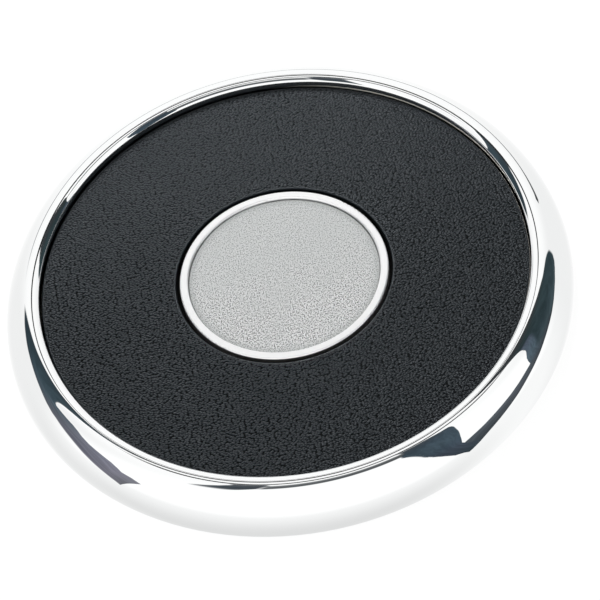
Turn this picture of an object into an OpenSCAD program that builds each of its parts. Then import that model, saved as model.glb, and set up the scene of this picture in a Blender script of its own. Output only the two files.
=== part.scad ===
// Wine bottle coaster: a pressed metal dish with a rounded rim, lined with a leather ring
// round a small medallion, and closed below by a board and a felt pad.
// Every piece is round, so each one is the revolved section of its own profile.
// The origin is at the middle of the felt's underside, with +Z up.

/* [Rim] */
// Outside diameter of the rim
outer_d = 120; // [116:1:150]
// Diameter of the recess that takes the bottle
recess_d = 103.2; // [96:0.1:106]
// Height of the metal rim, from its foot to its crest
rim_h = 10; // [9.4:0.1:14]
// Distance from the recess out to the rim's crest
crest_in = 1.75; // [1.4:0.05:2.5]
// Radius of the shoulder that falls from the crest into the recess
shoulder_r = 3.5; // [2.6:0.1:5]
// Rounding where the shoulder meets the wall of the recess
lip_edge_r = 0.4; // [0.25:0.05:0.6]
// Radius of the crown, on the outer side of the crest
crown_r = 5; // [4:0.1:5.6]
// Height of the upright skirt below the rounded flank
skirt_h = 0.9; // [0.8:0.05:1.2]
// Thickness of the sheet metal
wall = 0.8; // [0.6:0.05:1]
// Rounding under the rim's foot
foot_r = 0.7; // [0.3:0.1:0.8]
// Bend radius where the dish's floor meets its wall
bend_r = 0.5; // [0.2:0.1:0.6]

/* [Leather] */
// Depth of the leather's face below the lip
seat_depth = 2; // [1.5:0.1:3]
// Thickness of the leather
leather_t = 1.2; // [0.8:0.1:1.6]
// Thickness of the backing ring under the leather
backing_t = 1.2; // [0.8:0.1:1.8]
// How far the backing ring stays inside the leather's edges
backing_inset = 0.5; // [0.4:0.1:2]
// Gap between the leather and the wall of the recess
leather_gap = 0.3; // [0.1:0.05:0.8]
// Rounding of the leather's cut edges
leather_edge_r = 0.3; // [0.1:0.05:0.5]

/* [Medallion] */
// Outside diameter of the cup that holds the medallion
cup_d = 44; // [36:0.1:60]
// Width of the cup's polished edge
cup_edge_w = 1.8; // [1.2:0.1:3]
// Rounding of the cup's two upper edges
cup_edge_r = 0.35; // [0.1:0.05:0.5]
// Thickness of the cup's floor
cup_floor_t = 0.6; // [0.4:0.1:0.9]
// Height of the cup's edge above the leather
cup_proud = 0.2; // [0:0.05:0.5]
// Depth of the medallion's face below the cup's edge
disc_depth = 0.6; // [0.3:0.1:0.9]
// Gap between the cup and the hole in the leather
cup_gap = 0.75; // [0.3:0.05:1.5]
// Gap between the medallion and the cup
disc_gap = 0.1; // [0.05:0.01:0.2]
// Rounding of the medallion's upper edge
disc_edge_r = 0.15; // [0.05:0.05:0.25]

/* [Underside] */
// Width of the hem that is turned in under the board
hem_w = 4.5; // [3.5:0.1:7]
// Thickness of the felt pad
felt_t = 1.2; // [0.9:0.1:2.5]
// Gap between the felt pad and the hem
felt_gap = 0.5; // [0.2:0.1:1.5]
// Rounding of the felt pad's lower edge
felt_edge_r = 0.4; // [0.1:0.1:0.6]
// Gap between the board and the inside of the rim
board_gap = 0.25; // [0.15:0.05:0.8]
// Thickness of the double-sided tapes
tape_t = 0.1; // [0.08:0.01:0.25]
// How far each tape stays inside the piece that it holds
tape_inset = 0.6; // [0.2:0.1:2]

/* [Hidden] */
// Sides that a circle is shown with
$fn = 240;
// How far a cut runs past the face that it opens
overrun = 1;
// A strip of the section narrower than this is left out
thinnest = 0.01;
// How much further the rounded flank goes down than it goes out, and out than its crown does, at the least
flank_lead = 0.5;

outer_r = outer_d / 2;
recess_r = recess_d / 2;

hem_top_z = felt_t + tape_t;
foot_z = hem_top_z - wall;
lip_z = foot_z + rim_h;
hem_r = outer_r - hem_w;

// The rim's section: from the crest it rounds inwards over the shoulder and the lip's edge, and outwards
// over the crown and the flank. Each two neighbouring arcs are tangent, and the turns say how far round
// the first of them goes.
crest_r = recess_r + crest_in;
shoulder_turn = asin((crest_in - lip_edge_r) / (shoulder_r - lip_edge_r));
shoulder_r_in = crest_r - shoulder_r * sin(shoulder_turn);
shoulder_z = lip_z - shoulder_r;
lip_edge_z = shoulder_z + (shoulder_r - lip_edge_r) * cos(shoulder_turn);

flank_drop = rim_h - skirt_h;
flank_w = min(outer_r - crest_r, flank_drop - flank_lead);
crown_arc_r = min(crown_r, flank_w - flank_lead);
crown_x = outer_r - flank_w;
crown_z = lip_z - crown_arc_r;
crown_turn = 90 - 2 * atan((flank_w - crown_arc_r) / (flank_drop - crown_arc_r));
crown_low_z = crown_z + crown_arc_r * cos(crown_turn);
flank_r = crown_arc_r + (flank_drop - crown_arc_r) / cos(crown_turn);
flank_x = outer_r - flank_r;
flank_z = foot_z + skirt_h;

leather_z = lip_z - seat_depth;
backing_z = leather_z - leather_t;
floor_z = backing_z - backing_t - tape_t;
floor_under_z = floor_z - wall;
leather_r = recess_r - leather_gap;

cup_r = cup_d / 2;
cup_bore_r = cup_r - cup_edge_w;
cup_z = floor_z + tape_t;
cup_floor_z = cup_z + cup_floor_t;
cup_top_z = leather_z + cup_proud;
disc_z = cup_floor_z + tape_t;
disc_top_z = cup_top_z - disc_depth;
disc_r = cup_bore_r - disc_gap;
hole_r = cup_r + cup_gap;

felt_r = hem_r - felt_gap;
// The rim's inside narrows upwards, so the board is cut to fit it at its own upper face.
board_rise = max(0, floor_under_z - flank_z);
board_r = flank_x + sqrt(pow(flank_r - wall, 2) - pow(board_rise, 2)) - board_gap;

// A rectangle of a section, between two radii and two heights
module band(r_in, r_out, z_low, z_high) {
    translate([r_in, z_low])
        square([r_out - r_in, z_high - z_low]);
}

// A flat disc or ring that lies between two heights
module flat_ring(r_in, r_out, z_low, z_high) {
    rotate_extrude()
        band(r_in, r_out, z_low, z_high);
}

// The sharp corner that a rounding takes away; out and up say which way the corner points
module corner_waste(r, z, edge_r, out, up) {
    translate([r, z])
        mirror([out ? 0 : 1, 0])
            mirror([0, up ? 0 : 1])
                translate([-edge_r, -edge_r])
                    difference() {
                        square(edge_r + overrun);
                        circle(edge_r);
                    }
}

// The part of a disc about (r, z) that lies in a band of the section
module arc_part(r, z, arc_r, r_in, r_out, z_low, z_high) {
    intersection() {
        translate([r, z])
            circle(arc_r);
        band(r_in, r_out, z_low, z_high);
    }
}

// The filled rim, measured a given depth inside its outer skin
module rim_body(depth) {
    low_z = foot_z + depth;
    skirt_z = max(flank_z, low_z);
    arcs_z = min(shoulder_z, crown_z);

    band(recess_r + depth, crest_r, low_z, arcs_z);
    arc_part(crest_r, shoulder_z, shoulder_r - depth, recess_r + depth, crest_r, arcs_z, lip_z);
    if (crown_x > crest_r + thinnest)
        band(crest_r, crown_x, low_z, lip_z - depth);
    arc_part(crown_x, crown_z, crown_arc_r - depth, crown_x, outer_r, arcs_z, lip_z);
    arc_part(flank_x, flank_z, flank_r - depth, crown_x, outer_r, skirt_z,
        crown_low_z - depth * cos(crown_turn));
    if (skirt_z > low_z + thinnest)
        band(crown_x, outer_r - depth, low_z, skirt_z);
}

// What the rounding takes off between the shoulder and the wall of the recess
module lip_edge_waste() {
    difference() {
        band(recess_r - overrun, shoulder_r_in, lip_edge_z, lip_z + overrun);
        translate([recess_r + lip_edge_r, lip_edge_z])
            circle(lip_edge_r);
    }
}

// The dish's floor and the bend that joins it to the wall of the recess
module dish_floor() {
    band(0, recess_r + wall, floor_under_z, floor_z);
    difference() {
        band(recess_r - bend_r, recess_r, floor_z, floor_z + bend_r);
        translate([recess_r - bend_r, floor_z + bend_r])
            circle(bend_r);
    }
}

// One pressed sheet: floor, wall, crest, rounded flank and the hem turned in below
module rim_shell() {
    color("gainsboro")
        rotate_extrude()
            difference() {
                union() {
                    rim_body(0);
                    dish_floor();
                }
                rim_body(wall);
                band(0, hem_r, foot_z - overrun, floor_under_z);
                lip_edge_waste();
                corner_waste(outer_r, foot_z, foot_r, true, false);
            }
}

// Fibreboard disc that fills the underside, gripped by the hem
module base_board() {
    color("peru")
        flat_ring(0, board_r, hem_top_z, floor_under_z);
}

module felt_tape() {
    color("khaki")
        flat_ring(0, felt_r - tape_inset, felt_t, hem_top_z);
}

// Soft pad that the coaster stands on, standing a little below the metal foot
module base_felt() {
    color([0.12, 0.12, 0.13])
        rotate_extrude()
            difference() {
                band(0, felt_r, 0, felt_t);
                corner_waste(felt_r, 0, felt_edge_r, true, false);
            }
}

module backing_tape() {
    color("khaki")
        flat_ring(hole_r + backing_inset + tape_inset, leather_r - backing_inset - tape_inset,
            floor_z, floor_z + tape_t);
}

// Greyboard ring that stiffens the leather and lifts it to its height
module backing_ring() {
    color("darkgray")
        flat_ring(hole_r + backing_inset, leather_r - backing_inset, floor_z + tape_t, backing_z);
}

// The leather that the bottle stands on, with both cut edges eased
module leather_ring() {
    color([0.2, 0.22, 0.23])
        rotate_extrude()
            difference() {
                band(hole_r, leather_r, backing_z, leather_z);
                corner_waste(leather_r, leather_z, leather_edge_r, true, true);
                corner_waste(hole_r, leather_z, leather_edge_r, false, true);
            }
}

module cup_tape() {
    color("khaki")
        flat_ring(0, cup_r - tape_inset, floor_z, cup_z);
}

// Shallow polished cup that shows as a bright ring round the medallion
module medallion_cup() {
    color("whitesmoke")
        rotate_extrude()
            difference() {
                band(0, cup_r, cup_z, cup_top_z);
                band(0, cup_bore_r, cup_floor_z, cup_top_z + overrun);
                corner_waste(cup_r, cup_top_z, cup_edge_r, true, true);
                corner_waste(cup_bore_r, cup_top_z, cup_edge_r, false, true);
            }
}

module disc_tape() {
    color("khaki")
        flat_ring(0, disc_r - tape_inset, cup_floor_z, disc_z);
}

// Blank medallion with a fine blasted face
module medallion_disc() {
    color("silver")
        rotate_extrude()
            difference() {
                band(0, disc_r, disc_z, disc_top_z);
                corner_waste(disc_r, disc_top_z, disc_edge_r, true, true);
            }
}

rim_shell();
base_board();
felt_tape();
base_felt();
backing_tape();
backing_ring();
leather_ring();
cup_tape();
medallion_cup();
disc_tape();
medallion_disc();
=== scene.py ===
from math import asin, atan, cos, pi, radians, sin

import bmesh
import bpy
import numpy as np
from mathutils import Matrix, Vector


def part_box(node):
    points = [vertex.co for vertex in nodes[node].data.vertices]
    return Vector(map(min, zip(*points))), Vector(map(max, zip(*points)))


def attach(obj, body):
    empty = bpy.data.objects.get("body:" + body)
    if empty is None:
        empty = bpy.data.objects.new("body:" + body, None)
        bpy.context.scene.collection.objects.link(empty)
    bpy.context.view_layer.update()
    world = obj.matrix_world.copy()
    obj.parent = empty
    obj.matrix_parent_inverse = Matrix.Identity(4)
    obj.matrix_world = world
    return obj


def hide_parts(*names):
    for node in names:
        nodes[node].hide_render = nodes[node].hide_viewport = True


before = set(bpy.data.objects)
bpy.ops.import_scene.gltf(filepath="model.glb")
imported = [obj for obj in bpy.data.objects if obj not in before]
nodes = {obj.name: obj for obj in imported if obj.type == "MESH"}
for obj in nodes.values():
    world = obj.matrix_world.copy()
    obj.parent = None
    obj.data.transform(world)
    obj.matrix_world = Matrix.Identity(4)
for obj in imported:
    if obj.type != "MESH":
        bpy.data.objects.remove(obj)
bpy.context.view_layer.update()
mm = 0.001
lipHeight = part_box("rim_shell")[1].z
print("frame loaded:", len(nodes), "nodes")


# shared helpers

maths = "ShaderNodeMath"
vectorMaths = "ShaderNodeVectorMath"
mapRange = "ShaderNodeMapRange"
rangeFrom, rangeTo = (1, 2), (3, 4)  # a Map Range node's inputs
eased = {"interpolation_type": "SMOOTHSTEP"}
times = {"operation": "MULTIPLY"}


def linear(hexColour):
    # sRGB hex to the linear values that the shaders take
    parts = [int(hexColour[i:i + 2], 16) / 255 for i in (1, 3, 5)]
    return [c / 12.92 if c <= 0.04045 else ((c + 0.055) / 1.055) ** 2.4 for c in parts] + [1.0]


def addNode(tree, kind, settings=None, links=None):
    # A setting is for one input or a group of them, or is the node's own if it has one of that name. A link
    # comes from a socket, or from a node's first output.
    node = tree.nodes.new(kind)
    for name, value in (settings or {}).items():
        if isinstance(name, tuple):
            for place, part in zip(name, value):
                node.inputs[place].default_value = part
        elif isinstance(name, str) and hasattr(node, name):
            setattr(node, name, value)
        else:
            node.inputs[name].default_value = value
    for name, source in (links or {}).items():
        socket = source.outputs[0] if isinstance(source, bpy.types.Node) else source
        tree.links.new(socket, node.inputs[name])
    return node


def newMaterial(name):
    material = bpy.data.materials.new(name)
    material.use_nodes = True
    material.node_tree.nodes.clear()
    return material, material.node_tree


def radiusAndHeight(tree, place):
    # distance from the coaster's axis, and height above the table, both in m
    flat = addNode(tree, vectorMaths, {**times, 1: (1, 1, 0)}, {0: place})
    away = addNode(tree, vectorMaths, {"operation": "LENGTH"}, {0: flat})
    height = addNode(tree, "ShaderNodeSeparateXYZ", links={0: place})
    return away.outputs["Value"], height.outputs["Z"]


def assign(obj, material):
    obj.data.materials.clear()
    obj.data.materials.append(material)


# camera, fitted to the rim's and the medallion's ellipses in the photograph

cameraLook = {
    "elevation": 51.53,       # degrees above the table
    "roll": 12.26,            # degrees that the picture leans anticlockwise
    "distance": 615.8,        # mm from the middle of the lip's circle
    "focalPixels": 2962,      # focal length in pixels of the 600 pixel frame
    "lipCentre": (282.6, 267.9),  # where the middle of the lip's circle shows, in pixels
    "frame": 600,
    "sensor": 36,             # mm
}


def placeCamera(look):
    e, roll = radians(look["elevation"]), radians(look["roll"])
    forward, right = Vector((0, cos(e), -sin(e))), Vector((1, 0, 0))
    up = right.cross(forward)
    right, up = right * cos(roll) - up * sin(roll), right * sin(roll) + up * cos(roll)
    eye = Vector((0, 0, lipHeight)) - forward * look["distance"] * mm
    half, f = look["frame"] / 2, look["focalPixels"]
    offX, offY = (look["lipCentre"][0] - half) / f, (half - look["lipCentre"][1]) / f
    forward = (forward - right * offX - up * offY).normalized()
    right = forward.cross(up).normalized()
    up = right.cross(forward)
    lens = bpy.data.cameras.new("productCamera")
    lens.sensor_width = look["sensor"]
    lens.lens = f * look["sensor"] / look["frame"]
    lens.clip_start, lens.clip_end = 10 * mm, 20
    camera = bpy.data.objects.new("productCamera", lens)
    turned = Matrix((right, up, -forward)).transposed().to_4x4()
    camera.matrix_world = Matrix.Translation(eye) @ turned
    bpy.context.scene.collection.objects.link(camera)
    bpy.context.scene.camera = camera


placeCamera(cameraLook)
print("camera placed")


# studio: white sweep, soft lamps, and dark cards that show only in reflections

studioLook = {
    "floorSize": 6.0,         # m
    "floorWhite": "#fbfbfb",
    "cameraGlow": 0.88,       # share of plain white in what the camera sees of the floor
    "cameraWhite": 1.05,      # strength of that white
    "worldLight": 0.55,       # strength of the soft light from all sides
    "tentWhite": 1.06,        # brightness of the tent in the metal, before the losses that follow
    "backLoss": (0.05, 0.17),    # in the middle and in the corners of the back wall
    "backWall": (-0.1, 0.35),    # where that wall begins and is whole, on the way to the back
    "backCorner": (0.2, 0.7),    # the same for its corners, on the way to the side
    "tableLoss": 0.09,           # towards the table
    "tableLine": (-0.15, 0.02),  # where it is whole and where it has gone, on the way up
    "footLoss": 0.22,            # low in the tent, on the side that faces footAzimuth
    "footLine": (-0.8, 0.05),
    "footSide": (-0.2, 0.6),
    "footAzimuth": 245,          # degrees
    "cardDistance": 1.2,      # m from the coaster to the cards
}


def buildFloor(look):
    half = look["floorSize"] / 2
    corners = [(-half, -half, 0), (half, -half, 0), (half, half, 0), (-half, half, 0)]
    mesh = bpy.data.meshes.new("studioFloor")
    mesh.from_pydata(corners, [], [(0, 1, 2, 3)])
    floor = bpy.data.objects.new("studioFloor", mesh)
    bpy.context.scene.collection.objects.link(floor)
    material, tree = newMaterial("white paper sweep")
    paper = addNode(tree, "ShaderNodeBsdfDiffuse", {"Color": linear(look["floorWhite"])})
    glow = addNode(tree, "ShaderNodeEmission", {"Color": (1, 1, 1, 1), "Strength": look["cameraWhite"]})
    path = addNode(tree, "ShaderNodeLightPath")
    share = addNode(tree, maths, {**times, 1: look["cameraGlow"]}, {0: path.outputs["Is Camera Ray"]})
    sweep = addNode(tree, "ShaderNodeMixShader", links={"Fac": share, 1: paper, 2: glow})
    addNode(tree, "ShaderNodeOutputMaterial", links={"Surface": sweep})
    assign(floor, material)
    # the metal sees the tent's own foot instead, which shades off without a horizon
    floor.visible_glossy = False


def buildWorld(look):
    world = bpy.data.worlds.new("lightTent")
    world.use_nodes = True
    tree = world.node_tree
    tree.nodes.clear()
    way = addNode(tree, "ShaderNodeTexCoord").outputs["Generated"]
    parts = addNode(tree, "ShaderNodeSeparateXYZ", links={0: way})
    right, back, up = parts.outputs
    aside = addNode(tree, maths, {"operation": "ABSOLUTE"}, {0: right})
    wall = addNode(tree, mapRange, {**eased, rangeFrom: look["backWall"]}, {0: back})
    corner = addNode(tree, mapRange, {**eased, rangeFrom: look["backCorner"], rangeTo: look["backLoss"]},
                     {0: aside})
    backLoss = addNode(tree, maths, times, {0: wall, 1: corner})
    low = addNode(tree, mapRange, {**eased, rangeFrom: look["tableLine"], rangeTo: (look["tableLoss"], 0)},
                  {0: up})
    near = addNode(tree, mapRange, {**eased, rangeFrom: look["backWall"], rangeTo: (1, 0)}, {0: back})
    tableLoss = addNode(tree, maths, times, {0: low, 1: near})
    front = radians(look["footAzimuth"])
    ahead = addNode(tree, vectorMaths, {"operation": "DOT_PRODUCT", 1: (cos(front), sin(front), 0)}, {0: way})
    deep = addNode(tree, mapRange, {**eased, rangeFrom: look["footLine"], rangeTo: (look["footLoss"], 0)},
                   {0: up})
    facing = addNode(tree, mapRange, {**eased, rangeFrom: look["footSide"]}, {0: ahead.outputs["Value"]})
    footLoss = addNode(tree, maths, times, {0: deep, 1: facing})
    loss = addNode(tree, maths, {"operation": "ADD"}, {0: backLoss, 1: tableLoss})
    loss = addNode(tree, maths, {"operation": "ADD"}, {0: loss, 1: footLoss})
    shade = addNode(tree, maths, {"operation": "SUBTRACT", 0: look["tentWhite"]}, {1: loss})
    path = addNode(tree, "ShaderNodeLightPath").outputs
    soft = addNode(tree, "ShaderNodeBackground", {"Color": (1, 1, 1, 1), "Strength": look["worldLight"]})
    tent = addNode(tree, "ShaderNodeBackground", {"Color": (1, 1, 1, 1)}, {"Strength": shade})
    white = addNode(tree, "ShaderNodeBackground", {"Color": (1, 1, 1, 1), "Strength": 1.0})
    mirrored = addNode(tree, "ShaderNodeMixShader", links={"Fac": path["Is Glossy Ray"], 1: soft, 2: tent})
    seen = addNode(tree, "ShaderNodeMixShader", links={"Fac": path["Is Camera Ray"], 1: mirrored, 2: white})
    addNode(tree, "ShaderNodeOutputWorld", links={"Surface": seen})
    bpy.context.scene.world = world


# glow is the lamp's brightness beside the white of the paper, and lights names the only piece that a lamp
# is masked to
lampLooks = {
    "backSoftbox": {"azimuth": 94, "elevation": 42, "distance": 0.42, "size": 0.2, "glow": 24.0},
    "fillSoftbox": {"azimuth": 200, "elevation": 60, "distance": 1.0, "size": 0.6, "glow": 2.0},
    "cupSoftbox": {"azimuth": 90, "elevation": 52, "distance": 1.0, "size": 0.5, "glow": 0.33,
                   "lights": "medallion_cup"},
    "discSoftbox": {"azimuth": 90, "elevation": 52, "distance": 1.0, "size": 0.5, "glow": 0.11,
                    "lights": "medallion_disc"},
}


def fromAngles(azimuth, elevation, distance):
    # azimuth 0 is +X and 90 is away from the camera
    a, e = radians(azimuth), radians(elevation)
    return Vector((cos(a) * cos(e), sin(a) * cos(e), sin(e))) * distance


def buildLamp(name, look, linked):
    lamp = bpy.data.lights.new(name, "AREA")
    lamp.shape, lamp.size = "DISK", look["size"]
    lamp.energy = look["glow"] * pi * pi * (look["size"] / 2) ** 2
    obj = bpy.data.objects.new(name, lamp)
    obj.location = fromAngles(look["azimuth"], look["elevation"], look["distance"])
    obj.rotation_euler = obj.location.to_track_quat("Z", "Y").to_euler()
    bpy.context.scene.collection.objects.link(obj)
    if "lights" in look:
        linked = bpy.data.collections.new(name + " mask")
        linked.objects.link(nodes[look["lights"]])
    obj.light_linking.receiver_collection = linked


def metalPieces():
    # The two large lamps leave these alone, so that the tent and the cards show in them. The cup and the
    # medallion have faint lamps of their own.
    unlit = bpy.data.collections.new("metal pieces")
    for node in ("rim_shell", "medallion_cup", "medallion_disc"):
        unlit.objects.link(nodes[node])
    for entry in unlit.collection_objects:
        entry.light_linking.link_state = "EXCLUDE"
    return unlit


# Each card is a ribbon round the studio, cut out as it would be in a flat all-round view: degrees to the
# right of the point overhead, and degrees behind it, one pair of places for each cross-section. The colours
# follow one another along it, and lean is its brightness at the first and the second edge. edge is how much
# of its width fades into the white on either side, and ends the same for its two ends. nearer is how many m
# it hangs in front of the others.
cardLooks = {
    "leftCard": {
        "colours": (
            "#3c4348", "#38444b", "#35434a", "#3d4b53", "#4c5962", "#5d636c", "#6b6d78", "#757683",
            "#7a7985", "#74757c"),
        "lean": (0.8, 1.15), "edge": (0.1, 0.03), "ends": (0, 0),
        "pairs": [
            ((-2.2, 36.4), (-2.2, 34.8)), ((-8.5, 35.4), (-8, 31.8)), ((-15, 36.5), (-15, 29.3)),
            ((-22.5, 39.5), (-22.5, 27)), ((-30.5, 43), (-30, 25)), ((-38, 41.5), (-37.5, 23)),
            ((-45.5, 38), (-44.5, 21)), ((-53, 33), (-48, 19.5)), ((-60.5, 28.5), (-47.5, 16.5)),
            ((-68, 24), (-47.5, 12.5)), ((-75, 20), (-50.5, 9)), ((-80.5, 15.5), (-55, 5)),
            ((-83.5, 9), (-59, -0.5)), ((-86.5, 0), (-61, -7.5)), ((-90, -8.5), (-63.5, -14)),
            ((-92, -16.5), (-68, -19.5)), ((-93, -24), (-70.5, -24)), ((-94, -30.5), (-69, -29)),
            ((-95, -34), (-69.5, -35))],
    },
    "upperRightCard": {
        "colours": ("#3c4246", "#36393b", "#2f3b3e", "#303d41", "#2e3b3f", "#323f44", "#3a474c", "#3c484d"),
        "lean": (1.15, 0.9), "edge": (0.03, 0.02), "ends": (0, 0),
        "pairs": [
            ((2.2, 36.2), (2.2, 35.4)), ((7, 34), (7, 30.5)), ((15, 32), (14.5, 24.5)),
            ((23.5, 31), (22.5, 19.5)), ((30.5, 32), (30.5, 14.5)), ((38, 32.5), (38, 9.5)),
            ((45.5, 33), (45.5, 5)), ((53, 33), (53, -0.5)), ((60.5, 33), (60.5, -5.5)),
            ((68, 32), (68, -9.5)), ((76, 24), (73.5, -12)), ((82, 18), (77.5, -13.5))],
    },
    "upperRightHem": {
        "colours": ("#454a56", "#4c5763", "#4f5e68", "#465058"),
        "lean": (0.9, 1.15), "edge": (0.3, 0.03), "ends": (0.2, 0), "nearer": 0.02,
        "pairs": [
            ((26, 19), (25, 18)), ((33, 17.5), (33, 13)), ((45.5, 11), (45.5, 5)),
            ((60.5, 4), (60.5, -5.5)), ((70, 0), (70, -10.5)), ((84, -3), (77.5, -13.5))],
    },
    "rightSideCard": {
        "colours": ("#434d52", "#474e54", "#4f555c", "#545960", "#50565c", "#484f55", "#3c454b"),
        "lean": (0.7, 1.15), "edge": (0.04, 0.03), "ends": (0, 0),
        "pairs": [
            ((82, 18), (73.5, -12)), ((84, 11.5), (77.5, -13)), ((85, 4.5), (77, -14.5)),
            ((86.5, -7), (76, -17.5)), ((86.5, -15), (74.5, -23.5)), ((86, -22.5), (72.5, -29)),
            ((85.5, -30.5), (68, -37.5)), ((83.5, -39.5), (64, -45)), ((82, -46), (60.5, -50)),
            ((79.5, -54.5), (57.5, -54.5)), ((78, -62), (59, -60.5)), ((75, -70), (63.5, -68))],
    },
    "lowerRightCard": {
        "colours": (
            "#4a5056", "#3f4850", "#3e4b55", "#42505a", "#43515b", "#404d58", "#3f4853", "#3a434c",
            "#333f46"),
        "lean": (0.88, 1.1), "edge": (0.05, 0.02), "ends": (0.03, 0), "nearer": 0.01,
        "pairs": [
            ((4.5, 21), (6.5, 20.5)), ((7, 13.5), (10.8, 14.7)), ((8, 10.5), (14, 11.3)),
            ((9, 7), (16.3, 7.5)), ((10.5, -1), (21.1, -0.6)), ((12.5, -7.5), (25.1, -7.5)),
            ((15.5, -14), (29.4, -14.6)), ((19.5, -22.5), (34.2, -22.1)), ((23.5, -30.5), (38.9, -29.4)),
            ((27.5, -38), (43.8, -36.8)), ((30.5, -43.5), (47.8, -42.6)), ((34.5, -49.5), (51.5, -47.8)),
            ((39.5, -54.5), (55, -52.9)), ((46, -59.5), (57.5, -54.5)), ((53, -64), (62, -57.5)),
            ((59.5, -67.5), (69.5, -59)), ((68, -69), (78, -61.5)), ((74.5, -70.5), (76, -68))],
    },
    "leftStrand": {
        "colours": ("#6a6d70", "#4c5156", "#3f464c", "#4d5358", "#8a8d90"),
        "lean": (1.1, 0.9), "edge": (0.15, 0.15), "ends": (0.1, 0.3), "nearer": 0.01,
        "pairs": [
            ((-6.5, 22), (-4, 21)), ((-9, 15), (-5, 14)), ((-13, 8.5), (-7, 7.5)), ((-17.5, 3), (-9, 1)),
            ((-23.5, -3), (-14.5, -5.5)), ((-27.5, -8), (-19, -9.5))],
    },
    "overheadCard": {
        "colours": ("#a4a6a7", "#6c6f71", "#4c4f51", "#7c7f81"),
        "lean": (1.15, 0.9), "edge": (0.05, 0.05), "ends": (0.15, 0.15),
        "pairs": [
            ((-6, 14.5), (9, 14.5)), ((-7, 10), (11, 10)), ((-9, 4), (13, 4)), ((-11, -2), (14, -2))],
    },
    "hubStrand": {
        "colours": ("#3c3e40", "#26282a", "#26282a", "#3c3e40"),
        "lean": (1, 1), "edge": (0.2, 0.2), "ends": (0.2, 0.2),
        "pairs": [
            ((-3.5, 41.6), (-3.5, 44)), ((-1.5, 42.4), (-1.5, 45)), ((1.5, 42.4), (1.5, 45)),
            ((3.5, 41.6), (3.5, 44))],
    },
    "crestStrand": {
        "colours": ("#2c2e2e", "#1c1e1e", "#1c1e1e", "#2c2e2e"),
        "lean": (1, 1), "edge": (0.04, 0.04), "ends": (0.05, 0.05), "nearer": 0.02,
        "pairs": [
            ((-5, 34.6), (-2, 39.8)), ((-2.6, 32.6), (-1, 39.6)), ((0, 31.8), (0, 39.5)),
            ((2.6, 32.6), (1, 39.6)), ((5.2, 34.8), (2.2, 39.8))],
    },
    "lowStrand": {
        "colours": ("#2c2f31", "#202325", "#26292b", "#3a3d40"),
        "lean": (1, 1), "edge": (0.03, 0.03), "ends": (0.1, 0.2), "nearer": 0.02,
        "pairs": [
            ((-14, 27.5), (-9.5, 30.5)), ((-10, 22.5), (-7, 26.5)), ((-5.5, 19.5), (-4, 23.5)),
            ((1, 18.3), (1, 22.7)), ((7.5, 20), (5.5, 24.2)), ((11.5, 21.2), (9.2, 25.2)),
            ((14.5, 22.6), (12.2, 25.8)), ((18, 24.4), (15.5, 27.4))],
    },
    "backCard": {
        "colours": (
            "#7a7e80", "#8a8e90", "#8f9394", "#a4a7a8", "#b4b7b8", "#a4a7a8", "#7a7e80", "#54585a",
            "#3c4142", "#333839"),
        "lean": (1, 1), "edge": (0.25, 0.25), "ends": (0.1, 0),
        "pairs": [
            ((-33, 46), (-28, 45)), ((-31.5, 53), (-27.5, 53)), ((-29, 61), (-25, 60)),
            ((-24.5, 68.5), (-21, 66.5)), ((-18, 75.5), (-15, 73)), ((-9, 81), (-8, 78)),
            ((0, 83), (0, 80)), ((9, 81.5), (8, 78.5)), ((18, 78), (16, 75)), ((25, 73), (22.5, 70)),
            ((31.5, 66), (28.5, 63.5)), ((36, 58.5), (32.5, 57)), ((40.5, 51.5), (36, 50.5)),
            ((46, 45.5), (37, 44.5)), ((43, 43.5), (36, 43))],
    },
}

clothLook = {
    "grain": (4, 7, 1),       # how fine its unevenness is, along the card and across it
    "drawn": (0.3, 0.75),     # the part of the noise that shows
    "uneven": (0.8, 1.25),    # its darkest and its brightest
}


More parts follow.
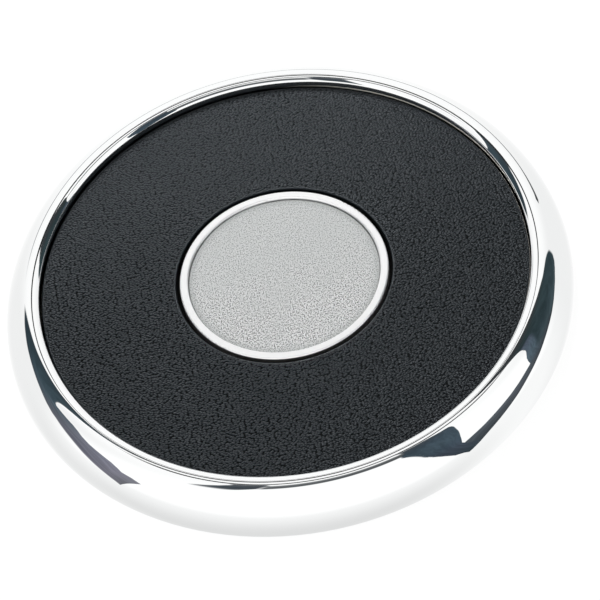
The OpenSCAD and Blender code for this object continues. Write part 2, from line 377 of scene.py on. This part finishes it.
def cardCloth(name, look, cloth):
    # matt cloth, uneven along its length, that ends in the white of the tent round it
    material, tree = newMaterial(name + " cloth")
    place = addNode(tree, "ShaderNodeTexCoord").outputs["UV"]
    parts = addNode(tree, "ShaderNodeSeparateXYZ", links={0: place})
    along, across = parts.outputs["X"], parts.outputs["Y"]
    dye = addNode(tree, "ShaderNodeValToRGB", links={0: along})
    stops, last = dye.color_ramp.elements, len(look["colours"]) - 1
    for i, colour in enumerate(look["colours"]):
        stop = stops[i] if i < 2 else stops.new(i / last)
        stop.position = i / last
        stop.color = linear(colour)
    drawn = addNode(tree, vectorMaths, {**times, 1: cloth["grain"]}, {0: place})
    cloud = addNode(tree, "ShaderNodeTexNoise", {"Scale": 1.0, "Detail": 7.0, "Roughness": 0.7,
                    "Distortion": 0.6}, {"Vector": drawn})
    uneven = addNode(tree, mapRange, {**eased, rangeFrom: cloth["drawn"], rangeTo: cloth["uneven"]},
                     {0: cloud.outputs["Fac"]})
    lean = addNode(tree, mapRange, {**eased, rangeTo: look["lean"]}, {0: across})
    brightness = addNode(tree, maths, times, {0: uneven, 1: lean})
    shade = addNode(tree, vectorMaths, {"operation": "SCALE"}, {0: dye, "Scale": brightness})
    firstFade, secondFade = look["edge"]
    first = addNode(tree, mapRange, {**eased, rangeFrom: (0, firstFade)}, {0: across})
    second = addNode(tree, mapRange, {**eased, rangeFrom: (1 - secondFade, 1), rangeTo: (1, 0)}, {0: across})
    cover = addNode(tree, maths, times, {0: first, 1: second})
    startFade, endFade = look["ends"]
    if startFade:
        start = addNode(tree, mapRange, {**eased, rangeFrom: (0, startFade)}, {0: along})
        cover = addNode(tree, maths, times, {0: cover, 1: start})
    if endFade:
        end = addNode(tree, mapRange, {**eased, rangeFrom: (1 - endFade, 1), rangeTo: (1, 0)}, {0: along})
        cover = addNode(tree, maths, times, {0: cover, 1: end})
    clear = addNode(tree, "ShaderNodeBsdfTransparent")
    weave = addNode(tree, "ShaderNodeEmission", {"Strength": 1.0}, {"Color": shade})
    card = addNode(tree, "ShaderNodeMixShader", links={"Fac": cover, 1: clear, 2: weave})
    addNode(tree, "ShaderNodeOutputMaterial", links={"Surface": card})
    return material


def lifted(place, distance):
    # a place in the flat all-round view, back on the dome round the coaster
    return fromAngles(np.degrees(np.arctan2(place[1], place[0])), 90 - np.hypot(*place), distance)


def buildCard(name, look, distance):
    steps, across = 6, 6
    rows = []
    pairs = np.array(look["pairs"], float)
    for here, there in zip(pairs, pairs[1:]):
        rows += [here + (there - here) * s / steps for s in range(steps)]
    rows.append(pairs[-1])
    verts = [lifted(a + (b - a) * k / across, distance) for a, b in rows for k in range(across + 1)]
    wide = across + 1
    faces = [(i * wide + k, i * wide + k + 1, (i + 1) * wide + k + 1, (i + 1) * wide + k)
             for i in range(len(rows) - 1) for k in range(across)]
    mesh = bpy.data.meshes.new(name)
    mesh.from_pydata(verts, [], faces)
    spread = mesh.uv_layers.new(name="spread")
    for loop in mesh.loops:
        row, k = divmod(loop.vertex_index, wide)
        spread.data[loop.index].uv = (row / (len(rows) - 1), k / across)
    card = bpy.data.objects.new(name, mesh)
    bpy.context.scene.collection.objects.link(card)
    assign(card, cardCloth(name, look, clothLook))
    card.visible_camera = card.visible_diffuse = card.visible_shadow = False


buildFloor(studioLook)
buildWorld(studioLook)
unlit = metalPieces()
for name, look in lampLooks.items():
    buildLamp(name, look, unlit)
for name, look in cardLooks.items():
    buildCard(name, look, studioLook["cardDistance"] - look.get("nearer", 0))
print("studio built:", len(lampLooks), "lamps,", len(cardLooks), "cards")


# meshes of the soft pieces

def sizesOf(node):
    # inner and outer radius, lowest and highest place of a round CAD piece, in m
    points = np.array([v.co[:] for v in nodes[node].data.vertices])
    away = np.hypot(points[:, 0], points[:, 1])
    return away.min(), away.max(), points[:, 2].min(), points[:, 2].max()


def roundedCorner(r, z, edge, quarter, steps=5):
    # arc about (r, z) through one quarter turn, which starts at quarter * 90 degrees
    turns = [radians(90 * (quarter + i / steps)) for i in range(steps + 1)]
    return [(r + edge * cos(t), z + edge * sin(t)) for t in turns]


def revolved(name, profile, sides):
    # Profile of (radius, height), listed anticlockwise, turned about the axis. It closes on itself as a ring,
    # or starts and ends on the axis as a solid disc.
    turns = [2 * pi * i / sides for i in range(sides)]
    count = len(profile)
    steps = count - 1 if profile[0][0] == 0 else count
    verts = [(r * cos(t), r * sin(t), z) for t in turns for r, z in profile]
    faces = []
    for i in range(sides):
        here, there = i * count, (i + 1) % sides * count
        for k in range(steps):
            n = (k + 1) % count
            faces.append((here + k, there + k, there + n, here + n))
    mesh = bpy.data.meshes.new(name)
    mesh.from_pydata(verts, [], faces)
    shape = bmesh.new()
    shape.from_mesh(mesh)
    bmesh.ops.remove_doubles(shape, verts=shape.verts, dist=0.001 * mm)
    shape.to_mesh(mesh)
    shape.free()
    mesh.shade_smooth()
    obj = bpy.data.objects.new(name, mesh)
    bpy.context.scene.collection.objects.link(obj)
    return obj


def reliefTree(name):
    tree = bpy.data.node_groups.new(name, "GeometryNodeTree")
    tree.interface.new_socket("Geometry", in_out="INPUT", socket_type="NodeSocketGeometry")
    tree.interface.new_socket("Geometry", in_out="OUTPUT", socket_type="NodeSocketGeometry")
    return tree


def closeRelief(tree, offset):
    start = addNode(tree, "NodeGroupInput")
    moved = addNode(tree, "GeometryNodeSetPosition", links={"Geometry": start, "Offset": offset})
    addNode(tree, "NodeGroupOutput", links={0: moved})


def bakeRelief(obj, tree):
    modifier = obj.modifiers.new("relief", "NODES")
    modifier.node_group = tree
    done = bpy.data.meshes.new_from_object(obj.evaluated_get(bpy.context.evaluated_depsgraph_get()))
    obj.modifiers.clear()
    obj.data = done


leatherLook = {
    # the pit colour is painted shade in the creases between the pebbles
    "top": "#0d1114", "pitShade": "#020303",
    "fibre": "#f2eee6",       # raw middle of the hide, where it was cut, made near-white as a painted highlight
    "pebble": 0.42,           # mm from front to back of a pebble of the grain
    "stretch": 1.45,          # how much wider they are than that
    "rumple": 0.2,            # share of a finer unevenness in the pebbles
    "depth": 0.14,            # mm from the top of a pebble to the bottom of a crease
    "shaded": (0.1, 0.4),     # heights of the grain at which the colour is all pit and all top
    "swell": 2.6,             # mm across the hide's own unevenness
    "swellDepth": 0.03,       # mm
    "tint": "#ebf5fd",        # colour of its sheen
    "litBack": 0.2,            # how much flatter the grain is at the back, which also lightens its painted pit shade there: painted light from the back
    "litBackFrom": (-0.2, 0.7),   # where that begins and is whole, in parts of the radius behind the middle
    "flatEdge": 0.7,          # mm beside a cut edge where the grain fades out
    "cutEdge": 0.3,           # mm that the cut edges are eased
    "fibreHighlightFoot": (0.5, 0.42),    # mm below the top where the raw fibre and its painted highlight begin and are whole
    "fibreHighlightHead": (0.18, 0.1),    # and where it starts to end and has ended
    "fibreHighlightSide": (0.1, 0.6),     # where it begins and is whole, in parts of the radius to the right, the side where light catches the edge
    "fibreHighlightDeep": (1.0, 0.9),     # the same in mm from the outer edge
    "ring": 0.6,              # mm between rings of the mesh
    "sides": 480,
    "roughness": (0.5, 0.35),    # of the pits and of the tops
    "gloss": (0.02, 0.15),       # specular level of the pits and of the tops
}


def grainHeight(tree, place, look):
    # 1 on the top of a pebble and 0 in a pit between pebbles
    stretched = addNode(tree, vectorMaths, {**times, 1: (1 / look["stretch"], 1, 0)}, {0: place})
    cells = addNode(tree, "ShaderNodeTexVoronoi", {"feature": "SMOOTH_F1", "voronoi_dimensions": "2D",
                    "Scale": 1 / (look["pebble"] * mm), "Smoothness": 0.1, "Randomness": 0.85},
                    {"Vector": stretched})
    rumple = addNode(tree, "ShaderNodeTexNoise", {"Scale": 1 / (0.6 * look["pebble"] * mm), "Detail": 1.0},
                     {"Vector": stretched})
    pebbles = addNode(tree, mapRange, {**eased, rangeFrom: (0.1, 0.75), rangeTo: (1, 0)},
                      {0: cells.outputs["Distance"]})
    soft = addNode(tree, mapRange, {**eased, rangeFrom: (0.3, 0.7)}, {0: rumple.outputs["Fac"]})
    return addNode(tree, "ShaderNodeMix", {"data_type": "FLOAT", 0: look["rumple"]}, {2: pebbles, 3: soft})


def insideEdges(tree, away, inner, outer, width):
    # 0 at both cut edges and 1 a given width inside them
    hole = addNode(tree, mapRange, {**eased, rangeFrom: (inner, inner + width)}, {0: away})
    rim = addNode(tree, mapRange, {**eased, rangeFrom: (outer - width, outer), rangeTo: (1, 0)}, {0: away})
    return addNode(tree, maths, times, {0: hole, 1: rim})


def buildLeather(look):
    inner, outer, low, high = sizesOf("leather_ring")
    edge = look["cutEdge"] * mm
    rings = int((outer - inner - 2 * edge) / (look["ring"] * mm))
    top = [(outer - edge - (outer - inner - 2 * edge) * i / rings, high) for i in range(1, rings)]
    profile = [(outer, low)] + roundedCorner(outer - edge, high - edge, edge, 0) + top
    profile += roundedCorner(inner + edge, high - edge, edge, 1) + [(inner, low)]
    leather = revolved("leatherRing", profile, look["sides"])
    tree = reliefTree("hide swell")
    place = addNode(tree, "GeometryNodeInputPosition")
    height = radiusAndHeight(tree, place)[1]
    swell = addNode(tree, "ShaderNodeTexNoise", {"Scale": 1 / (look["swell"] * mm), "Detail": 2.0},
                    {"Vector": place})
    waves = addNode(tree, mapRange, {**eased, rangeFrom: (0.3, 0.7)}, {0: swell.outputs["Fac"]})
    topSide = addNode(tree, mapRange, {**eased, rangeFrom: (high - edge, high)}, {0: height})
    sunk = addNode(tree, maths, times, {0: waves, 1: topSide})
    offset = addNode(tree, vectorMaths, {"operation": "SCALE", 0: (0, 0, -look["swellDepth"] * mm)},
                     {"Scale": sunk})
    closeRelief(tree, offset)
    bakeRelief(leather, tree)
    return leather


feltLook = {
    "name": "black needled felt",
    "colour": "#1c1c1e", "dark": "#0a0a0b",
    "fibre": 0.25,            # mm, coarser than real fibres, which wouldn't show
    "roughness": 0.95,
    "tuft": 1.6,              # mm across a tuft of the pile, and how deep and how frayed it is
    "depth": 0.16,
    "fray": 0.12,
    "bottomEdge": 0.4,        # mm that the lower edge is rounded
    "ring": 0.55,             # mm between rings of the mesh
    "sides": 560,
}


def buildFelt(look):
    _, outer, low, high = sizesOf("base_felt")
    edge = look["bottomEdge"] * mm
    rings = int((outer - edge) / (look["ring"] * mm))
    under = [((outer - edge) * i / rings, low) for i in range(rings)]
    side = [(outer, low + edge + (high - low - edge) * i / 4) for i in range(1, 5)]
    profile = under + roundedCorner(outer - edge, low + edge, edge, 3) + side + [(0.0, high)]
    felt = revolved("feltPad", profile, look["sides"])
    tree = reliefTree("felt pile")
    place = addNode(tree, "GeometryNodeInputPosition")
    away, height = radiusAndHeight(tree, place)
    tufts = addNode(tree, "ShaderNodeTexNoise", {"Scale": 1 / (look["tuft"] * mm), "Detail": 5.0,
                    "Roughness": 0.7}, {"Vector": place}).outputs["Fac"]
    pile = addNode(tree, mapRange, {**eased, rangeFrom: (0.3, 0.75)}, {0: tufts})
    underside = addNode(tree, mapRange, {**eased, rangeFrom: (low, low + edge), rangeTo: (1, 0)}, {0: height})
    sunk = addNode(tree, maths, times, {0: pile, 1: underside})
    lift = addNode(tree, "ShaderNodeCombineXYZ", links={"Z": sunk})
    lift = addNode(tree, vectorMaths, {"operation": "SCALE", "Scale": look["depth"] * mm}, {0: lift})
    loose = addNode(tree, mapRange, {**eased, rangeFrom: (0.35, 0.7)}, {0: tufts})
    atEdge = addNode(tree, mapRange, {**eased, rangeFrom: (outer - edge, outer)}, {0: away})
    frayed = addNode(tree, maths, times, {0: loose, 1: atEdge})
    inwards = -look["fray"] * mm / outer
    pull = addNode(tree, vectorMaths, {**times, 1: (inwards, inwards, 0)}, {0: place})
    pull = addNode(tree, vectorMaths, {"operation": "SCALE"}, {0: pull, "Scale": frayed})
    offset = addNode(tree, vectorMaths, {"operation": "ADD"}, {0: lift, 1: pull})
    closeRelief(tree, offset)
    bakeRelief(felt, tree)
    return felt


leather = buildLeather(leatherLook)
felt = buildFelt(feltLook)
for piece, node, slot in ((leather, "leather_ring", "leather"), (felt, "base_felt", "felt")):
    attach(piece, "root")
    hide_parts(node)
print("soft pieces built:", len(leather.data.polygons), "and", len(felt.data.polygons), "faces")


# materials

chromeLook = {
    "colour": "#fbfcfc",
    "roughness": (0.01, 0.03),
    "haze": 14.0,             # painted shade: black on the dish's floor under the lining, where it shows down the gap round the cup
    "gapShade": "#0b0b0c",        # mm from that painted shade to the wall of the recess
    "gapShadeEdge": 0.35,         # mm from the glue to the wall of the recess
}

# the rounded section that the rim is pressed to, in mm
rimSection = {
    "crestIn": 1.75,          # from the recess out to the crest
    "shoulder": 3.5,          # radius of the fall from the crest into the recess
    "lipEdge": 0.4,           # radius where that meets the wall of the recess
    "crown": 5.0,             # radius on the outer side of the crest
    "skirt": 0.9,             # height of the upright skirt below the flank
}


def rimArcs(look, recess):
    # for each arc of the section, the radius it starts at, and the radius and the height of its middle, in m
    crestIn, shoulder, lipEdge, crown, skirt = (look[name] * mm for name in look)
    outer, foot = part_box("rim_shell")[1].x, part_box("rim_shell")[0].z
    crest = recess + crestIn
    turn = asin((crestIn - lipEdge) / (shoulder - lipEdge))
    wide, drop = outer - crest, lipHeight - foot - skirt
    crownTurn = pi / 2 - 2 * atan((wide - crown) / (drop - crown))
    flank = crown + (drop - crown) / cos(crownTurn)
    return [(recess, recess + lipEdge, lipHeight - shoulder + (shoulder - lipEdge) * cos(turn)),
            (crest - shoulder * sin(turn), crest, lipHeight - shoulder),
            (crest, crest, lipHeight - crown),
            (crest + crown * sin(crownTurn), outer - flank, foot + skirt)]


def arcNormal(tree, place, arcs):
    # A mirror shows up every facet of a mesh, so the rim's highlights follow the true arcs of its section.
    away, height = radiusAndHeight(tree, place)
    # radius and height of the middle of the arc that a place is on, stepped from one arc to the next
    middle, level = [addNode(tree, maths, {"operation": "ADD", (0, 1): (part, 0)}) for part in arcs[0][1:]]
    for (start, radius, z), (_, lastRadius, lastZ) in zip(arcs[1:], arcs):
        past = addNode(tree, maths, {"operation": "GREATER_THAN", 1: start}, {0: away})
        wider, higher = radius - lastRadius, z - lastZ
        middle = addNode(tree, maths, {"operation": "MULTIPLY_ADD", 1: wider}, {0: past, 2: middle})
        level = addNode(tree, maths, {"operation": "MULTIPLY_ADD", 1: higher}, {0: past, 2: level})
    share = addNode(tree, maths, {"operation": "DIVIDE"}, {0: middle, 1: away})
    share = addNode(tree, maths, {"operation": "SUBTRACT", 0: 1.0}, {1: share})
    flat = addNode(tree, vectorMaths, {**times, 1: (1, 1, 0)}, {0: place})
    flat = addNode(tree, vectorMaths, {"operation": "SCALE"}, {0: flat, "Scale": share})
    rise = addNode(tree, maths, {"operation": "SUBTRACT"}, {0: height, 1: level})
    rise = addNode(tree, "ShaderNodeCombineXYZ", links={"Z": rise})
    whole = addNode(tree, vectorMaths, {"operation": "ADD"}, {0: flat, 1: rise})
    whole = addNode(tree, vectorMaths, {"operation": "NORMALIZE"}, {0: whole})
    # the upright wall and skirt keep the normal of the mesh
    pastWall = addNode(tree, maths, {"operation": "GREATER_THAN", 1: arcs[0][0] + 0.01 * mm}, {0: away})
    overSkirt = addNode(tree, maths, {"operation": "GREATER_THAN", 1: arcs[-1][2]}, {0: height})
    onArcs = addNode(tree, maths, times, {0: pastWall, 1: overSkirt})
    own = addNode(tree, "ShaderNodeNewGeometry").outputs["Normal"]
    return addNode(tree, "ShaderNodeMix", {"data_type": "VECTOR"}, {0: onArcs, 4: own, 5: whole}).outputs[1]


def chromePlate(look, recess, dishFloor):
    # Bright chrome over pressed steel, buffed: a clean mirror with a faint haze where it was handled. The
    # floor of the dish is painted black, as shade down the narrow gap round the cup.
    material, tree = newMaterial("chrome plate on pressed steel")
    place = addNode(tree, "ShaderNodeTexCoord").outputs["Object"]
    haze = addNode(tree, "ShaderNodeTexNoise", {"Scale": 1 / (look["haze"] * mm), "Detail": 4.0},
                   {"Vector": place})
    rough = addNode(tree, mapRange, {**eased, rangeFrom: (0.4, 0.7), rangeTo: look["roughness"]},
                    {0: haze.outputs["Fac"]})
    metal = addNode(tree, "ShaderNodeBsdfPrincipled", {"Base Color": linear(look["colour"]), "Metallic": 1.0},
                    {"Roughness": rough, "Normal": arcNormal(tree, place, rimArcs(rimSection, recess))})
    away, height = radiusAndHeight(tree, place)
    # painted shade: the dish's floor inside the recess turns black, standing for the shade down the gap round
    # the cup
    edge, thin = recess - look["gapShadeEdge"] * mm, 0.05 * mm
    inDish = addNode(tree, mapRange, {**eased, rangeFrom: (edge - 2 * thin, edge), rangeTo: (1, 0)},
                     {0: away})
    onFloor = addNode(tree, mapRange, {**eased, rangeFrom: (dishFloor, dishFloor + thin), rangeTo: (1, 0)},
                      {0: height})
    shadedFloor = addNode(tree, maths, times, {0: inDish, 1: onFloor})
    gapShade = addNode(tree, "ShaderNodeBsdfPrincipled", {"Base Color": linear(look["gapShade"]), "Roughness": 0.7,
                   "Specular IOR Level": 0.2})
    shell = addNode(tree, "ShaderNodeMixShader", links={"Fac": shadedFloor, 1: metal, 2: gapShade})
    addNode(tree, "ShaderNodeOutputMaterial", links={"Surface": shell})
    return material


cupLook = {
    "colour": "#ffffff",
    "roughness": (0.32, 0.4),
    "brushing": 0.2,          # mm between turning marks, wider than real ones, which wouldn't show
    "depth": 0.0015,          # mm
}


def satinCup(look):
    # Spun and satin-polished cup: bright and even, with soft edges and the faintest turning marks round it.
    material, tree = newMaterial("satin-polished spun steel")
    place = addNode(tree, "ShaderNodeTexCoord").outputs["Object"]
    away = radiusAndHeight(tree, place)[0]
    rings = addNode(tree, "ShaderNodeTexNoise", {"noise_dimensions": "1D", "Detail": 2.0,
                    "Scale": 1 / (look["brushing"] * mm)}, {"W": away}).outputs["Fac"]
    relief = addNode(tree, "ShaderNodeBump", {"Strength": 1.0, "Distance": look["depth"] * mm},
                     {"Height": rings})
    rough = addNode(tree, mapRange, {**eased, rangeFrom: (0.35, 0.65), rangeTo: look["roughness"]},
                    {0: rings})
    metal = addNode(tree, "ShaderNodeBsdfPrincipled", {"Base Color": linear(look["colour"]), "Metallic": 1.0},
                    {"Roughness": rough, "Normal": relief})
    addNode(tree, "ShaderNodeOutputMaterial", links={"Surface": metal})
    return material


def pebbledLeather(look):
    # Black leather, plated with a fine pebble grain and lightly waxed: soft bluish sheen on the pebbles, and
    # pits painted nearly black between them as shade in the creases. A paler line of raw fibre runs along the
    # middle of its outer cut edge, near-white and only on the right-hand part, where light catches the edge:
    # partly the fibre's colour, partly a painted highlight.
    material, tree = newMaterial("black pebble-grain leather")
    inner, outer, _, top = sizesOf("leather_ring")
    place = addNode(tree, "ShaderNodeTexCoord").outputs["Object"]
    across, back, _ = addNode(tree, "ShaderNodeSeparateXYZ", links={0: place}).outputs
    away, height = radiusAndHeight(tree, place)
    # painted light: the grain, with its painted pit shade, flattens towards the back, as if lit from there
    litBack = addNode(tree, mapRange, {**eased, rangeFrom: [outer * part for part in look["litBackFrom"]],
                     rangeTo: (1, 1 - look["litBack"])}, {0: back})
    flat = insideEdges(tree, away, inner, outer, look["flatEdge"] * mm)
    kept = addNode(tree, maths, times, {0: flat, 1: litBack})
    grain = grainHeight(tree, place, look)
    grain = addNode(tree, "ShaderNodeMix", {"data_type": "FLOAT", 2: 0.5}, {0: kept, 3: grain})
    relief = addNode(tree, "ShaderNodeBump", {"Strength": 1.0, "Distance": look["depth"] * mm},
                     {"Height": grain})
    # the pits take the dark colour: painted shade in the creases
    shade = addNode(tree, mapRange, {rangeFrom: look["shaded"]}, {0: grain})
    colour = addNode(tree, "ShaderNodeMix", {"data_type": "RGBA", 6: linear(look["pitShade"]),
                     7: linear(look["top"])}, {0: shade}).outputs[2]
    # the pale line of raw fibre on the outer cut edge, kept to the right-hand part where light catches it:
    # partly the fibre's colour, partly a painted highlight
    bands = (
        (height, [top - depth * mm for depth in look["fibreHighlightFoot"]], (0, 1)),
        (height, [top - depth * mm for depth in look["fibreHighlightHead"]], (1, 0)),
        (away, [outer - depth * mm for depth in look["fibreHighlightDeep"]], (0, 1)),
        (across, [outer * part for part in look["fibreHighlightSide"]], (0, 1)),
    )
    raw = None
    for source, places, change in bands:
        band = addNode(tree, mapRange, {**eased, rangeFrom: places, rangeTo: change}, {0: source})
        raw = addNode(tree, maths, times, {0: raw, 1: band}) if raw else band
    colour = addNode(tree, "ShaderNodeMix", {"data_type": "RGBA", 7: linear(look["fibre"])},
                     {0: raw, 6: colour}).outputs[2]
    rough = addNode(tree, mapRange, {**eased, rangeTo: look["roughness"]}, {0: grain})
    gloss = addNode(tree, mapRange, {**eased, rangeFrom: look["shaded"], rangeTo: look["gloss"]},
                    {0: grain})
    skin = addNode(tree, "ShaderNodeBsdfPrincipled", {"Specular Tint": linear(look["tint"])},
                   {"Base Color": colour, "Normal": relief, "Roughness": rough, "Specular IOR Level": gloss})
    addNode(tree, "ShaderNodeOutputMaterial", links={"Surface": skin})
    return material


medallionLook = {
    "pitShade": "#303332", "peakGlint": "#ffffff",  # painted shade in the darkest pits and painted glints on the brightest points of the blasting
    "shaded": (0.355, 0.52),  # heights of the pitting at which the colour is all pit and all peak
    "even": "#dde0df",        # what they blend to where the blasting is finest
    "grit": 0.27,             # mm between pits, wider than real ones, which wouldn't show
    "depth": 0.04,            # mm
    "cloud": 7.0,             # mm between patches of coarser blasting
    "coarse": (0.7, 1.0),     # how coarse the finest and the coarsest patches are
    "coarseBack": (1, 0.5),   # and how that falls off from front to back
    "roughness": 0.5,
    "edge": "#c4c7c6",        # painted shade along the rounded edge, beside the cup's wall
    "edgeShadeWidth": 1.8,         # mm
}


def blastedMetal(look):
    # Nickel-plated blank, bead-blasted: an even satin grey with a fine sparkle painted into its colour, white
    # glints and dark pit shade, and a painted shade along its rounded edge.
    material, tree = newMaterial("bead-blasted nickel silver")
    rim = sizesOf("medallion_disc")[1]
    place = addNode(tree, "ShaderNodeTexCoord").outputs["Object"]
    back = addNode(tree, "ShaderNodeSeparateXYZ", links={0: place}).outputs["Y"]
    away = radiusAndHeight(tree, place)[0]
    pits = addNode(tree, "ShaderNodeTexNoise", {"Scale": 1 / (look["grit"] * mm), "Detail": 1.0,
                   "Roughness": 0.5}, {"Vector": place}).outputs["Fac"]
    clouds = addNode(tree, "ShaderNodeTexNoise", {"Scale": 1 / (look["cloud"] * mm), "Detail": 2.0},
                     {"Vector": place}).outputs["Fac"]
    # the sparkle: painted glints on the peaks and painted shade in the pits
    shade = addNode(tree, mapRange, {rangeFrom: look["shaded"]}, {0: pits})
    sparkle = addNode(tree, "ShaderNodeMix", {"data_type": "RGBA", 6: linear(look["pitShade"]),
                      7: linear(look["peakGlint"])}, {0: shade}).outputs[2]
    patches = addNode(tree, mapRange, {**eased, rangeFrom: (0.3, 0.7), rangeTo: look["coarse"]}, {0: clouds})
    fall = addNode(tree, mapRange, {**eased, rangeFrom: (-0.7 * rim, 0.6 * rim),
                   rangeTo: look["coarseBack"]}, {0: back})
    coarse = addNode(tree, maths, times, {0: patches, 1: fall})
    colour = addNode(tree, "ShaderNodeMix", {"data_type": "RGBA", 6: linear(look["even"])},
                     {0: coarse, 7: sparkle}).outputs[2]
    # painted shade: the disc darkens towards its rim, beside the cup's wall
    edgeShade = addNode(tree, mapRange, {**eased, rangeFrom: (rim - look["edgeShadeWidth"] * mm, rim),
                   rangeTo: (0, 0.6)}, {0: away})
    colour = addNode(tree, "ShaderNodeMix", {"data_type": "RGBA", 7: linear(look["edge"])},
                     {0: edgeShade, 6: colour}).outputs[2]
    relief = addNode(tree, "ShaderNodeBump", {"Distance": look["depth"] * mm},
                     {"Height": pits, "Strength": coarse})
    metal = addNode(tree, "ShaderNodeBsdfPrincipled", {"Metallic": 1.0, "Roughness": look["roughness"]},
                    {"Base Color": colour, "Normal": relief})
    addNode(tree, "ShaderNodeOutputMaterial", links={"Surface": metal})
    return material


boardLook = {"name": "raw fibreboard", "colour": "#8a6a48", "dark": "#6d5236", "fibre": 0.5, "roughness": 0.8}
greyboardLook = {"name": "greyboard", "colour": "#7b766f", "dark": "#625e58", "fibre": 0.4, "roughness": 0.85}
tapeLook = {"name": "double-sided film tape", "colour": "#d8cfae", "dark": "#c4ba96", "fibre": 1.5,
            "roughness": 0.35}


def plainStock(look):
    # Raw board, felt or film: a dull mottle of the stuff's own fibres, drawn wider than the real ones, so
    # that they show.
    material, tree = newMaterial(look["name"])
    place = addNode(tree, "ShaderNodeTexCoord").outputs["Object"]
    fibres = addNode(tree, "ShaderNodeTexNoise", {"Scale": 1 / (look["fibre"] * mm), "Detail": 5.0},
                     {"Vector": place}).outputs["Fac"]
    mottle = addNode(tree, mapRange, {rangeFrom: (0.35, 0.65)}, {0: fibres})
    shade = addNode(tree, "ShaderNodeMix", {"data_type": "RGBA", 6: linear(look["dark"]),
                    7: linear(look["colour"])}, {0: mottle}).outputs[2]
    relief = addNode(tree, "ShaderNodeBump", {"Strength": 0.6, "Distance": 0.1 * mm}, {"Height": fibres})
    stock = addNode(tree, "ShaderNodeBsdfPrincipled", {"Roughness": look["roughness"]},
                    {"Base Color": shade, "Normal": relief})
    addNode(tree, "ShaderNodeOutputMaterial", links={"Surface": stock})
    return material


leatherGap = 0.3 * mm  # between the leather and the wall of the recess
recess = sizesOf("leather_ring")[1] + leatherGap
dishFloor = sizesOf("cup_tape")[2]
assign(nodes["rim_shell"], chromePlate(chromeLook, recess, dishFloor))
assign(nodes["medallion_cup"], satinCup(cupLook))
assign(leather, pebbledLeather(leatherLook))
assign(nodes["medallion_disc"], blastedMetal(medallionLook))
assign(felt, plainStock(feltLook))
assign(nodes["base_board"], plainStock(boardLook))
assign(nodes["backing_ring"], plainStock(greyboardLook))
filmTape = plainStock(tapeLook)
for name in ("felt_tape", "backing_tape", "cup_tape", "disc_tape"):
    assign(nodes[name], filmTape)
print("materials assigned")

scene = bpy.context.scene
scene.view_settings.view_transform = "Standard"
